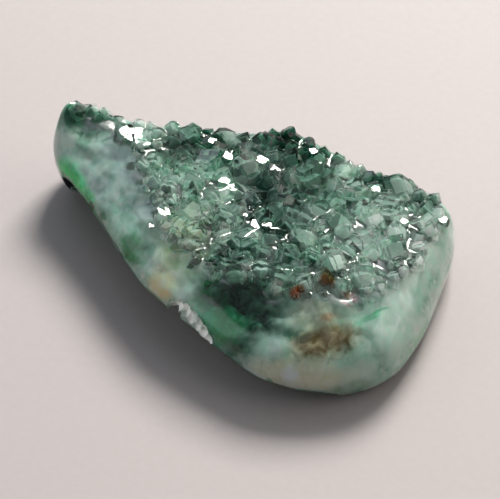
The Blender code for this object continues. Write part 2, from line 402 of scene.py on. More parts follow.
# Each lump of missing stone beside the hollow: its place and its half sizes in millimetres
CHIP = ((0.78, -7.95, 1.20), (0.62, 1.10, 1.95))
BROKEN_LIP = [
    ((1.10, -8.05, 3.15), (0.50, 0.55, 0.50)),
    ((1.65, -8.16, 3.10), (0.55, 0.62, 0.55)),
    ((2.20, -8.26, 2.98), (0.55, 0.62, 0.60)),
    ((2.72, -8.40, 2.76), (0.50, 0.60, 0.60)),
    ((3.20, -8.52, 2.52), (0.50, 0.58, 0.55)),
    ((3.66, -8.62, 2.24), (0.45, 0.50, 0.45)),
]


def hollow_mesh(extra):
    """The cutter for the hollow: a long blunt lump that follows the edge."""
    rows = [np.array((x * LENGTH, y * WIDTH, height * MM)) for x, y, height in HOLLOW]
    bm = bmesh.new()
    rings = []
    for k in range(1, HOLLOW_STEPS):
        place = -math.cos(math.pi * k / HOLLOW_STEPS)  # from -1 at the tail's end to 1 at the head's
        size = (1 - abs(place) ** HOLLOW_ENDS) ** (1 / HOLLOW_ENDS)
        x, y, height = smooth_row(rows, (place + 1) / 2, False)
        behind, ahead = (smooth_row(rows, (place + 1 + step) / 2, False) for step in (-0.01, 0.01))
        along = Vector((ahead - behind)[:2]).normalized()
        ring = []
        for i in range(HOLLOW_SIDES):
            turn = math.tau * i / HOLLOW_SIDES
            lump = noise.noise(Vector((5 * place, math.cos(turn), math.sin(turn))))
            rough = size * (1 + HOLLOW_UNEVEN * lump)
            aside = (HOLLOW_DEPTH * rough + extra) * math.cos(turn)
            up = (height * rough + extra) * math.sin(turn)
            ring.append(bm.verts.new((x - along.y * aside, y + along.x * aside, up)))
        rings.append(ring)
    for ring, after in zip(rings, rings[1:]):
        for i in range(HOLLOW_SIDES):
            j = (i + 1) % HOLLOW_SIDES
            bm.faces.new((ring[i], ring[j], after[j], after[i]))
    bm.faces.new(rings[0])
    bm.faces.new(list(reversed(rings[-1])))
    return roughened(bm, "hollow_cutter", "lining", depth=0.07 * MM, size=0.9 * MM)


def roughened(bm, name, kind, depth, size):
    """Roughens a lump of missing stone, at two sizes, and marks its faces with their kind of surface."""
    bm.normal_update()
    for v in bm.verts:
        rise = noise.noise(v.co / size) + 0.5 * noise.noise(v.co / (0.4 * size))
        v.co += v.normal * depth * rise
    for face in bm.faces:
        face.smooth = True
    mesh = finished(bm, name)
    mark(mesh, kind)
    return mesh


def mark(mesh, name):
    """Gives every face of a mesh the value 1 under a name, which materials can read."""
    attribute = mesh.attributes.new(name, "FLOAT", "FACE")
    attribute.data.foreach_set("value", np.ones(len(mesh.polygons), np.float32))


def lump_mesh(name, place, size, extra):
    """A rough ball of missing stone."""
    bm = bmesh.new()
    bmesh.ops.create_icosphere(bm, subdivisions=5, radius=1)
    bmesh.ops.scale(bm, vec=[s * MM + extra for s in size], verts=bm.verts)
    bmesh.ops.translate(bm, vec=Vector(place) * MM + centre, verts=bm.verts)
    return roughened(bm, name, "broken", depth=0.12 * min(size) * MM, size=0.35 * MM)


def hidden(name, mesh, collection):
    """An object that only cuts or joins, and isn't a piece of the stone itself."""
    obj = bpy.data.objects.new(name, mesh)
    obj.hide_render = True
    obj.display_type = "WIRE"
    collection.objects.link(obj)
    return obj


def missing_stone(name, extra):
    """A collection with everything that is missing from the stone, larger all round by extra."""
    found = bpy.data.collections.new(name)
    bpy.context.scene.collection.children.link(found)
    hidden(f"{name}_hollow", hollow_mesh(extra), found)
    for k, (place, size) in enumerate([CHIP] + BROKEN_LIP):
        hidden(f"{name}_chip_{k}", lump_mesh("chip", place, size, extra), found)
    return found


skin_cuts = missing_stone("skin_cut", extra=0)
heart_cuts = missing_stone("heart_cut", extra=0.10 * MM)

# %% [markdown]
# ## One crystal
#
# Quartz grows as a six-sided prism under a point of six faces that slope at 51.8 degrees. Three of the six
# are larger. A plain prism is cut by one plane for each face of the point, which is how the faces of the
# real crystal meet, and gives a different tip each time. The crystal's own coordinates are kept as an
# attribute, so that its growth lines can follow it however it is turned.

# %% Build the crystals
HABITS = 10
RHOMB_SLOPE = math.radians(51.8)
PRISM = 1.4  # height over the shoulder before the point is cut, in radii
ROOT = 1.5  # how deep the foot goes, in radii
WORN = 0.03  # width of the worn edges, in radii
LARGE_FACE = (0.70, 0.96)  # how far out a face is cut: at 1 it starts level with the shoulder
SMALL_FACE = (1.00, 1.32)


def crystal_form(rng):
    """The form of a quartz crystal of radius 1 with its shoulder at height 0."""
    bm = bmesh.new()
    bmesh.ops.create_cone(bm, cap_ends=True, segments=6, radius1=1, radius2=1, depth=ROOT + PRISM)
    bmesh.ops.translate(bm, vec=(0, 0, (PRISM - ROOT) / 2), verts=bm.verts)
    level = math.cos(math.pi / 6) * math.sin(RHOMB_SLOPE)
    for k in range(6):
        turn = math.radians(60 * k + 30)
        normal = Matrix.Rotation(turn, 3, "Z") @ Vector((math.sin(RHOMB_SLOPE), 0, math.cos(RHOMB_SLOPE)))
        share = rng.uniform(*(LARGE_FACE if k % 2 == 0 else SMALL_FACE))
        everything = bm.verts[:] + bm.edges[:] + bm.faces[:]
        found = bmesh.ops.bisect_plane(
            bm, geom=everything, plane_co=normal * level * share, plane_no=normal, clear_outer=True
        )
        rim = [e for e in found["geom_cut"] if isinstance(e, bmesh.types.BMEdge)]
        bmesh.ops.holes_fill(bm, edges=rim, sides=0)
    bmesh.ops.recalc_face_normals(bm, faces=bm.faces)
    return bm


def crystal_mesh(form, name, worn):
    """A crystal's mesh, with the edges worn off by a share of its radius if they show at its size."""
    bm = form.copy()
    if worn:
        bmesh.ops.bevel(bm, geom=bm.edges[:], offset=worn, segments=1, affect="EDGES", clamp_overlap=True)
        bmesh.ops.dissolve_degenerate(bm, dist=worn / 20, edges=bm.edges)
    mesh = bpy.data.meshes.new(name)
    bm.to_mesh(mesh)
    bm.free()
    mark(mesh, "grown")
    own = mesh.attributes.new("own_place", "FLOAT_VECTOR", "CORNER")
    for loop in mesh.loops:
        own.data[loop.index].vector = mesh.vertices[loop.vertex_index].co
    return mesh


SEED = 5
rng = random.Random(SEED)
habits = bpy.data.collections.new("crystal_habits")
small_habits = bpy.data.collections.new("small_crystal_habits")
for group in (habits, small_habits):
    bpy.context.scene.collection.children.link(group)
for k in range(HABITS):
    form = crystal_form(rng)
    hidden(f"crystal_{k}", crystal_mesh(form, f"crystal_{k}", WORN), habits)
    hidden(f"small_crystal_{k}", crystal_mesh(form, f"small_crystal_{k}", 0), small_habits)
    form.free()

# %% [markdown]
# ## Where the crystals grew
#
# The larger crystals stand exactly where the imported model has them: places are tried at random from a fixed
# seed and kept where there is room. They become the points of a mesh, each with its radius, its turn and
# which of the crystals it is. A few, well apart, have outgrown their neighbours and lean over more. Up to
# 20 ways to lean are tried for each of those, to find one where no face throws the main light at the eye.
# The inner body's cloudy feet of the crystals stand higher near the far edge, where the rim looks milky.

# %% Place the larger crystals
CRUST = [
    (-0.55, 0.030),
    (-0.45, 0.000),
    (-0.40, 0.060),
    (-0.345, 0.060),
    (-0.260, -0.040),
    (-0.180, -0.115),
    (-0.135, -0.185),
    (-0.075, -0.250),
    (0.005, -0.305),
    (0.080, -0.335),
    (0.165, -0.305),
    (0.250, -0.255),
    (0.335, -0.125),
    (0.405, -0.080),
    (0.440, 0.060),
    (0.480, 0.200),
    (0.480, 0.550),
    (-0.55, 0.550),
]
CRYSTAL = 0.90 * MM  # the radius that the largest vary about
VARIATION = (0.80, 1.10)
CRYSTAL_TRIES = 9000
SMALLEST = 0.54  # share of that radius that is left at the rim
FULL_SIZE = 3 * MM  # how far inside the rim they are full size
SHOULDER = 0.9  # where the rim of the crust lies, as a share of the flank's width
SPACING = 1.29  # least distance between two, in shares of their mean radius
SITTING = (-0.25, 0.30)  # how far a crystal sinks in or stands out, in radii
MOST_LEAN = math.radians(24)
RIM_LEAN = math.radians(14)
crust_outline = [on_plan(corner) for corner in CRUST]


def crystal_places(edge, rng):
    """(place, radius) of each crystal: larger in the middle and the head, smaller by the rim."""
    shoulder = [p + inwards(p) * run * SHOULDER for p, _, run, _ in edge]
    found = []
    for _ in range(CRYSTAL_TRIES):
        p = on_plan((rng.uniform(-0.5, 0.5), rng.uniform(-0.5, 0.5)))
        if not (inside(p, shoulder) and inside(p, crust_outline)):
            continue
        rim = min((p - s).length for s in shoulder)
        middle = min(rim / FULL_SIZE, 1) * min(max(0.95 + 1.6 * p.x / LENGTH, 0), 1)
        radius = CRYSTAL * (SMALLEST + (1 - SMALLEST) * middle) * rng.uniform(*VARIATION)
        if rim > 0.3 * radius and all((p - q).length > SPACING * (radius + r) / 2 for q, r in found):
            found.append((p, radius))
    return found


def crystal_turn(p, rng):
    """How a crystal stands: roughly upright, leaning a little outwards near the rim, and turned."""
    away = p - nearest_on_spine(p)
    lean = min(away.length / (WIDTH / 2), 1) * RIM_LEAN
    outward = Matrix.Rotation(lean, 3, Vector((-away.y, away.x, 0)).normalized())
    heading = rng.uniform(0, math.tau)
    tilt = Matrix.Rotation(MOST_LEAN * rng.random() ** 0.7, 3, (math.cos(heading), math.sin(heading), 0))
    return outward @ tilt @ Matrix.Rotation(rng.uniform(0, math.tau), 3, "Z")


def crystal_rows(edge, rng):
    """(place, radius, turn, habit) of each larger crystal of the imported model."""
    found = []
    for i, (p, radius) in enumerate(crystal_places(edge, rng)):
        place = Vector((*p, table_height(p) + radius * rng.uniform(*SITTING))) - centre
        found.append((place, radius, tuple(crystal_turn(p, rng).to_euler()), i % HABITS))
    return found


def places_object(name, rows):
    """A hidden mesh with one point for each row of a crystal's place, radius, turn and habit."""
    spots, radii, turns, kinds = zip(*rows)
    mesh = bpy.data.meshes.new(name)
    mesh.from_pydata(spots, [], [])
    mesh.attributes.new("radius", "FLOAT", "POINT").data.foreach_set("value", radii)
    mesh.attributes.new("turn", "FLOAT_VECTOR", "POINT").data.foreach_set("vector", np.ravel(turns))
    mesh.attributes.new("habit", "INT", "POINT").data.foreach_set("value", kinds)
    return hidden(name, mesh, bpy.context.scene.collection)


MAIN_ROUND = 160  # degrees that the main light stands round from the camera
MAIN_UP = 38
MAIN_WAY = seen_from(CAMERA_TURN + math.radians(MAIN_ROUND), math.radians(MAIN_UP))
# A face that looks this way throws the main light at the camera, and one 16 degrees off it doesn't
LEVEL = (seen_from(CAMERA_TURN, CAMERA_RISE) + MAIN_WAY).normalized()
DULL = math.cos(math.radians(16))
STEEP = Vector((math.sin(RHOMB_SLOPE), 0, math.cos(RHOMB_SLOPE)))
FACES = [Matrix.Rotation(math.radians(60 * k + 30), 3, "Z") @ STEEP for k in range(6)]
LEADER_SEED = 31
LEADER_SPACING = 2.0 * MM
LEADER_LEAST = 0.55 * MM
LEADER_SIZE = 1.45
LEADER_LEAN = math.radians(32)
LEADER_TRIES = 20
HIGHEST = 6.15 * MM  # about how high the largest may reach


def with_leaders(rows, rng):
    """The rows of the crystals, of which a few well apart lean over and have outgrown their neighbours."""
    found = []
    leaders = []
    for place, radius, turn, kind in sorted(rows, key=lambda row: -row[1]):
        if radius > LEADER_LEAST and all((place - other).length > LEADER_SPACING for other in leaders):
            leaders.append(place)
            for _ in range(LEADER_TRIES):
                heading = rng.uniform(0, math.tau)
                lean = Matrix.Rotation(LEADER_LEAN, 3, (math.cos(heading), math.sin(heading), 0))
                stand = lean @ Euler(turn).to_matrix()
                if all((stand @ face).dot(LEVEL) < DULL for face in FACES):
                    break
            turn = tuple(stand.to_euler())
            radius *= max(min(LEADER_SIZE, (HIGHEST - place.z) / radius), 1)
        found.append((place, radius, turn, kind))
    print("crystals that outgrew the others:", len(leaders))
    return found


FAR_RIM = 2.6 * MM
FOOT_RISE = 0.30
FOOT_SIZE = 1.25


def on_drawing(place):
    """A point of the stone as seen from above, on the drawing of the outline."""
    return Vector((place.x + centre.x, place.y + centre.y))


def raised_feet(rows):
    """The rows of the cloudy feet, of which those near the far edge stand higher and are larger."""
    far_edge = [p for p, *_ in edge if p.y > 0]
    found = []
    for place, radius, turn, kind in rows:
        if min((on_drawing(place) - p).length for p in far_edge) < FAR_RIM:
            place = place + Vector((0, 0, FOOT_RISE * radius))
            radius = FOOT_SIZE * radius
        found.append((place, radius, turn, kind))
    return found


packed_crystals = with_leaders(crystal_rows(edge, rng), random.Random(LEADER_SEED))
seeds = places_object("foot_places", raised_feet(packed_crystals))
print("larger crystals:", len(packed_crystals))

# %% [markdown]
# A crystal glints where one of its faces throws the main light at the eye, and a crust in such light always
# has a few that do. These crystals lean so that one of the larger faces of their point looks just that way.
# Each has the place of that face and its radius in millimetres, its turn about the face in degrees, and
# which of the crystals it is.

# %% Place the crystals that glint
FACE_OUT = 0.55  # about how far that face lies from the crystal's middle, in radii
GLINTS = [
    ((-8.40, 0.95, 5.35), 1.15, 10, 1),
    ((-7.70, 0.75, 5.30), 0.80, 150, 4),
    ((-9.10, 0.80, 5.45), 0.60, 260, 6),
    ((-4.12, 3.10, 5.45), 0.45, 40, 2),
    ((-2.58, 2.74, 5.30), 0.50, 120, 3),
    ((-0.61, 3.50, 5.45), 0.55, 200, 0),
    ((1.49, 6.01, 5.35), 0.45, 80, 5),
    ((-3.03, -3.57, 5.40), 0.60, 330, 7),
    ((-3.18, -4.53, 4.85), 0.32, 60, 8),
    ((-1.50, 0.68, 5.40), 0.50, 20, 9),
    ((-0.73, 0.55, 5.40), 0.48, 210, 1),
    ((2.12, -1.17, 5.25), 0.55, 300, 2),
    ((2.69, -0.71, 5.25), 0.50, 140, 3),
    ((10.99, 6.10, 4.70), 0.55, 90, 4),
    ((9.35, 4.28, 5.10), 0.40, 180, 5),
    ((6.44, 5.60, 5.25), 0.40, 240, 6),
]


def glint_rows():
    """The rows of the crystals that glint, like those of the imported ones."""
    found = []
    for place, radius, spin, kind in GLINTS:
        level = FACES[0].rotation_difference(LEVEL).to_matrix()
        stand = Matrix.Rotation(math.radians(spin), 3, LEVEL) @ level
        middle = stand @ FACES[0] * FACE_OUT * radius * MM
        found.append((Vector(place) * MM - middle, radius * MM, tuple(stand.to_euler()), kind))
    return found


seeds_and_glints = places_object("skin_crystal_places", packed_crystals + glint_rows())
print("crystals that glint:", len(GLINTS))

# %% [markdown]
# ## Growing the crust
#
# Geometry Nodes stand the crystals on their points, scatter small ones over the top between them, and join
# all of it with the body in one closed skin, from which the missing stone is cut. One tree serves twice. At
# full size it makes the clear skin. With a smaller share it makes the cloudy foot inside each crystal, which
# real crystals of a crust often have, because they start milky and end clear.

# %% The tree that grows a crust
# The names of the tree's inputs, by their kind
CRUST_INPUTS = {
    "Geometry": ["Body"],
    "Object": ["Places"],
    "Collection": ["Habits", "Small Habits", "Missing"],
    "Float": ["Share", "Sunk", "Small Spacing", "Small Least", "Small Most"],
    "Int": ["Seed"],
    "Material": ["Finish"],
}
# The values that the tree reads from the points, and their kinds
POINT_VALUES = {"radius": "FLOAT", "turn": "FLOAT_VECTOR", "habit": "INT", "crust": "FLOAT"}
SMALL_LEAN = math.radians(34)
MOST_PLACES = 2e7  # to a square metre, before those that stand too close are left out


def crust_tree():
    """The tree that grows a crust, and the identifier of each of its inputs."""
    tree = bpy.data.node_groups.new("grow_crust", "GeometryNodeTree")
    identifiers = {}
    for kind, names in CRUST_INPUTS.items():
        for name in names:
            socket = tree.interface.new_socket(name, in_out="INPUT", socket_type=f"NodeSocket{kind}")
            identifiers[name] = socket.identifier
    tree.interface.new_socket("Crust", in_out="OUTPUT", socket_type="NodeSocketGeometry")
    given = add(tree, "NodeGroupInput").outputs
    seed = given["Seed"]
    crystals, small_crystals, missing = (
        add(
            tree,
            "GeometryNodeCollectionInfo",
            {"Collection": given[name], "Separate Children": True, "Reset Children": name != "Missing"},
        )
        for name in CRUST_INPUTS["Collection"]
    )
    radius, turn, habit, room = (
        add(tree, "GeometryNodeInputNamedAttribute", {"Name": name}, data_type=kind).outputs["Attribute"]
        for name, kind in POINT_VALUES.items()
    )
    places = add(tree, "GeometryNodeObjectInfo", {"Object": given["Places"]}).outputs["Geometry"]
    low = add(tree, "ShaderNodeMath", {0: radius, 1: given["Sunk"]}, operation="MULTIPLY")
    down = add(tree, "ShaderNodeCombineXYZ", {"Z": low})
    large = {
        "Points": add(tree, "GeometryNodeSetPosition", {"Geometry": places, "Offset": down}),
        "Instance": crystals,
        "Instance Index": habit,
        "Rotation": add(tree, "FunctionNodeEulerToRotation", {"Euler": turn}),
        "Scale": add(tree, "ShaderNodeMath", {0: radius, 1: given["Share"]}, operation="MULTIPLY"),
    }
    scatter = add(
        tree,
        "GeometryNodeDistributePointsOnFaces",
        {
            "Mesh": given["Body"],
            "Distance Min": given["Small Spacing"],
            "Density Max": MOST_PLACES,
            "Density Factor": room,
            "Seed": seed,
        },
        distribute_method="POISSON",
    )
    any_turn = add(
        tree,
        "FunctionNodeRandomValue",
        {0: (-SMALL_LEAN, -SMALL_LEAN, 0), 1: (SMALL_LEAN, SMALL_LEAN, math.tau), "Seed": seed},
        data_type="FLOAT_VECTOR",
    )
    turned = add(tree, "FunctionNodeEulerToRotation", {"Euler": any_turn})
    any_size = add(
        tree,
        "FunctionNodeRandomValue",
        {2: given["Small Least"], 3: given["Small Most"], "Seed": seed},
        data_type="FLOAT",
    )
    any_habit = add(tree, "FunctionNodeRandomValue", {4: 0, 5: HABITS - 1, "Seed": seed}, data_type="INT")
    small = {
        "Points": scatter,
        "Instance": small_crystals,
        "Instance Index": any_habit.outputs[2],
        "Rotation": add(
            tree,
            "FunctionNodeRotateRotation",
            {"Rotation": scatter.outputs["Rotation"], "Rotate By": turned},
            rotation_space="LOCAL",
        ),
        "Scale": any_size.outputs[1],
    }
    crusts = [
        add(tree, "GeometryNodeInstanceOnPoints", {"Pick Instance": True, **stood})
        for stood in (large, small)
    ]
    joined = add(
        tree,
        "GeometryNodeMeshBoolean",
        {1: [given["Body"], *crusts]},
        operation="UNION",
        solver="MANIFOLD",
    )
    cut = add(
        tree,
        "GeometryNodeMeshBoolean",
        {0: joined, 1: missing},
        operation="DIFFERENCE",
        solver="MANIFOLD",
    )
    real = add(tree, "GeometryNodeRealizeInstances", {"Geometry": cut})
    coated = add(tree, "GeometryNodeSetMaterial", {"Geometry": real, "Material": given["Finish"]})
    add(tree, "NodeGroupOutput", {0: coated})
    return tree, identifiers


grow, grow_inputs = crust_tree()


def grown(name, mesh, **inputs):
    """Runs the tree on a body and returns its result as a plain object."""
    start = bpy.data.objects.new(f"{name}_start", mesh)
    bpy.context.scene.collection.objects.link(start)
    modifier = start.modifiers.new("grow_crust", "NODES")
    modifier.node_group = grow
    for key, value in inputs.items():
        modifier[grow_inputs[key.replace("_", " ")]] = value
    depsgraph = bpy.context.evaluated_depsgraph_get()
    result = bpy.data.meshes.new_from_object(start.evaluated_get(depsgraph))
    bpy.data.objects.remove(start)
    result.name = name
    result.materials.clear()
    result.materials.append(inputs["Finish"])
    obj = bpy.data.objects.new(name, result)
    bpy.context.scene.collection.objects.link(obj)
    return obj


print("inputs of the crust's tree:", list(grow_inputs))

# %% [markdown]
# ## Clear quartz
#
# Rock crystal has an index of refraction of 1.544 and no colour of its own. A trace of copper in this one
# takes some red and blue out of the light on its way, which a volume absorption gives in proportion to the
# depth. The crystals' faces are natural and bright, with fine growth lines across the prisms, the polished
# flank is a little softer, and the broken faces are frosted. Colour that lies close under the polish is laid
# on the skin itself as stains, which show sharper and more vivid than the clouds deeper down. Some stains are
# painted light: a vivid green band above the hollow's mouth at the tail is painted glow, and the cream above
# the hollow is partly its own colour and partly painted glow, both for light that shines through the thin
# lip. The hollow's lining is painted light too: pale at its mouth as a painted highlight along the edge,
# vivid green at the tail's end as painted glow, and almost black inside as painted shade.

# %% The quartz material


def tinted(tree, factor, below, above):
    """One colour laid over another by a factor."""
    return add(tree, "ShaderNodeMix", {"Factor": factor, "A": below, "B": above}, data_type="RGBA").outputs[2]


STRAY = 1.6 * MM  # how far noise draws a large cloud's edge about
NARROW = 1.05  # clouds narrower than this, in mm, are drawn about only a quarter as far
WISP_SIZE = 0.7 * MM
WISPS = {"From Min": 0.42, "From Max": 0.68}  # from where to where in the noise a wisp fades in


def fine_noise(tree, place):
    """The noise that draws the edges and the wisps of the clouds."""
    return add(
        tree,
        "ShaderNodeTexNoise",
        {"Vector": place, "Scale": 1 / WISP_SIZE, "Detail": 6.0, "Distortion": 0.8},
    )


def spread(tree, vector, stray, far):
    """A place that noise moves about by up to half of how far it may."""
    ragged = add(tree, "ShaderNodeVectorMath", {0: stray, "Scale": far}, operation="SCALE")
    return add(tree, "ShaderNodeVectorMath", {0: vector, 1: ragged}, operation="ADD").outputs[0]


def clouded_colour(tree, clouds, place, fine, colour):
    """A colour with clouds laid over it at a place, their edges and wisps drawn by a fine noise."""
    wisps = add(tree, "ShaderNodeMapRange", {"Value": fine, **WISPS})
    moved = {0: fine.outputs["Color"], 1: (0.5, 0.5, 0.5)}
    stray = add(tree, "ShaderNodeVectorMath", moved, operation="SUBTRACT")
    wide = spread(tree, place, stray, STRAY)
    narrow = spread(tree, place, stray, STRAY / 4)
    for at, reach, turn, tint, wisp_tint, cover in clouds:
        local = add(
            tree,
            "ShaderNodeMapping",
            {
                "Vector": narrow if min(reach) < NARROW else wide,
                "Location": Vector(at) * MM,
                "Rotation": (0, 0, math.radians(turn)),
                "Scale": Vector(reach) * MM,
            },
            vector_type="TEXTURE",
        )
        away = add(tree, "ShaderNodeVectorMath", {0: local}, operation="LENGTH")
        amount = add(
            tree,
            "ShaderNodeMapRange",
            {"Value": away.outputs["Value"], "From Min": 1.15, "From Max": 0.45, "To Max": cover},
            interpolation_type="SMOOTHSTEP",
        )
        cloud = tinted(tree, wisps, linear(tint), linear(wisp_tint))
        colour = tinted(tree, amount, colour, cloud)
    return colour


# Place in mm, reach in mm along its own axes, turn about Z in degrees, colour, colour of its wisps, cover
STAINS = [
    ((4.7, -6.9, 3.8), (3.3, 2.9, 2.7), 15, "#2C8678", "#90D0BC", 0.85),
    ((-1.0, 6.8, 5.0), (5.2, 2.2, 2.4), -10, "#3E9C7A", "#7CC4A8", 0.8),
    ((-6.2, 4.2, 5.2), (4.8, 1.6, 2.0), -25, "#4FA484", "#8CCCB4", 0.7),
    ((-11.6, 0.6, 5.7), (2.8, 1.0, 1.2), 20, "#2E7A5C", "#70AC94", 0.9),
    ((-12.8, -0.4, 5.5), (1.4, 1.2, 1.1), 20, "#3E8A6C", "#80B8A0", 0.85),
    # Painted glow: the next two are a vivid green band above the hollow's mouth, for light through the thin
    # lip
    ((-10.9, -2.7, 2.9), (2.0, 0.75, 0.9), -27, "#18FFA8", "#18F098", 1.0),
    ((-8.9, -3.5, 2.9), (1.3, 0.55, 0.6), -30, "#60D090", "#B0F0C8", 0.9),
    ((-8.3, -3.9, 3.0), (0.45, 0.4, 0.4), -28, "#107840", "#107840", 1.0),
    ((-7.0, -4.4, 3.3), (0.50, 0.4, 0.4), -28, "#107840", "#107840", 1.0),
    ((-3.9, -5.9, 3.5), (1.4, 1.05, 1.1), -28, "#149050", "#3CB47C", 1.0),
    ((-2.4, -5.8, 4.2), (0.7, 0.6, 0.5), -28, "#58B098", "#A0D8C4", 0.9),
    # Cream, lightened to near white: partly its own colour, partly painted glow of light through the thin lip
    ((-0.6, -7.1, 3.1), (1.2, 1.2, 1.3), 0, "#FFF0D0", "#FFFAEC", 0.9),
    ((4.0, -7.6, 3.1), (2.4, 1.5, 1.6), 15, "#08A068", "#18BC84", 0.95),
    ((6.0, -8.2, 2.7), (0.8, 0.6, 0.6), 10, "#18784A", "#409870", 0.9),
    ((10.3, -5.8, 3.9), (2.6, 1.2, 1.5), 50, "#C8B694", "#F0E6D0", 0.9),
    ((7.7, -7.5, 3.4), (1.5, 0.9, 1.0), 20, "#E8F6EE", "#FFFFFF", 0.9),
    ((8.3, -2.5, 5.3), (0.7, 0.6, 0.8), 0, "#A06010", "#D09040", 1.0),
    ((7.3, -4.1, 4.9), (0.5, 0.5, 0.6), 0, "#D07030", "#E0A060", 1.0),
    ((10.0, -2.6, 4.9), (0.5, 0.4, 0.6), 30, "#E05010", "#E88040", 1.0),
    ((9.9, -4.6, 4.5), (0.7, 0.35, 0.5), 40, "#E88050", "#F0A880", 0.9),
    ((12.05, -2.3, 4.5), (0.75, 0.11, 0.5), 65, "#28B080", "#28B080", 0.85),
]


def quartz_material():
    """Clear quartz: bright on the crystals, softer on the polish, frosted where it is broken."""
    material, tree, shader = new_material("clear_quartz_natural_and_polished")
    shader.inputs["IOR"].default_value = 1.544
    place = add(tree, "ShaderNodeTexCoord").outputs["Object"]
    broken, lining, grown_face = (
        add(tree, "ShaderNodeAttribute", attribute_name=kind).outputs["Fac"]
        for kind in ("broken", "lining", "grown")
    )
    own = add(tree, "ShaderNodeAttribute", attribute_name="own_place").outputs["Vector"]
    smears = add(tree, "ShaderNodeTexNoise", {"Vector": place, "Scale": 1 / (1.2 * MM), "Detail": 3.0})
    polish = add(tree, "ShaderNodeMapRange", {"Value": smears, "To Min": 0.07, "To Max": 0.20})
    natural = add(tree, "ShaderNodeMix", {"Factor": grown_face, "A": polish, "B": 0.035})
    frost = add(tree, "ShaderNodeMath", {0: broken, 1: lining}, operation="MAXIMUM")
    rough = add(tree, "ShaderNodeMix", {"Factor": frost, "A": natural, "B": 0.6})
    tree.links.new(rough.outputs[0], shader.inputs["Roughness"])
    # Growth lines run across the prism, so they are nine times as fine along it. They fade out at its top
    across = add(tree, "ShaderNodeVectorMath", {0: own, 1: (1, 1, 9)}, operation="MULTIPLY")
    lines = add(tree, "ShaderNodeTexNoise", {"Vector": across, "Scale": 1.0, "Detail": 3.0})
    up = add(tree, "ShaderNodeSeparateXYZ", {0: own}).outputs["Z"]
    prism = add(tree, "ShaderNodeMapRange", {"Value": up, "From Min": 0.35, "From Max": 0.15})
    prism_face = add(tree, "ShaderNodeMath", {0: prism, 1: grown_face}, operation="MULTIPLY")
    lined = add(tree, "ShaderNodeBump", {"Height": lines, "Strength": prism_face, "Distance": 0.03 * MM})
    grain = add(tree, "ShaderNodeTexNoise", {"Vector": place, "Scale": 1 / (0.12 * MM), "Detail": 4.0})
    frosted = add(
        tree, "ShaderNodeBump", {"Height": grain, "Strength": broken, "Distance": 0.05 * MM, "Normal": lined}
    )
    tree.links.new(frosted.outputs[0], shader.inputs["Normal"])
    lumps = add(tree, "ShaderNodeTexNoise", {"Vector": place, "Scale": 1 / (0.45 * MM), "Detail": 2.0})
    crumbs = add(tree, "ShaderNodeMapRange", {"Value": lumps, "From Min": 0.35, "From Max": 0.55})
    sugar = tinted(tree, crumbs, linear("#B4C2B4"), linear("#FFFFF8"))
    # The mouth's upper edge sinks towards the head by 0.067 of the way, and so does the painted shade inside
    # it
    along = add(tree, "ShaderNodeSeparateXYZ", {0: place}).outputs
    tail_end = add(
        tree, "ShaderNodeMapRange", {"Value": along["X"], "From Min": -6.5 * MM, "From Max": -8.5 * MM}
    )
    mouth = add(tree, "ShaderNodeMath", {0: along["X"], 1: 0.067, 2: along["Z"]}, operation="MULTIPLY_ADD")
    out_of_painted_shade = add(tree, "ShaderNodeMapRange", {"Value": mouth, "From Min": 1.2 * MM, "From Max": 1.9 * MM})
    # Painted light: a pale highlight by the mouth, green glow at the tail's end, near-black shade inside
    mouth_painted_highlight_and_glow = tinted(tree, tail_end, linear("#C6DCC8"), linear("#0CA050"))
    hollow_painted_shade_and_glow = tinted(tree, out_of_painted_shade, linear("#061A12"), mouth_painted_highlight_and_glow)
    stained = clouded_colour(tree, STAINS, place, fine_noise(tree, place), linear("#F6FAF8"))
    surface = tinted(tree, broken, stained, sugar)
    tree.links.new(tinted(tree, lining, surface, hollow_painted_shade_and_glow), shader.inputs["Base Color"])
    clear = add(tree, "ShaderNodeMapRange", {"Value": frost, "To Min": 1.0, "To Max": 0.1})
    tree.links.new(clear.outputs[0], shader.inputs["Transmission Weight"])
    absorb = add(tree, "ShaderNodeVolumeAbsorption", {"Color": linear("#C0E3DB"), "Density": 340.0})
    tree.links.new(absorb.outputs[0], tree.nodes["Material Output"].inputs["Volume"])
    return material


quartz = quartz_material()
print("made", quartz.name)
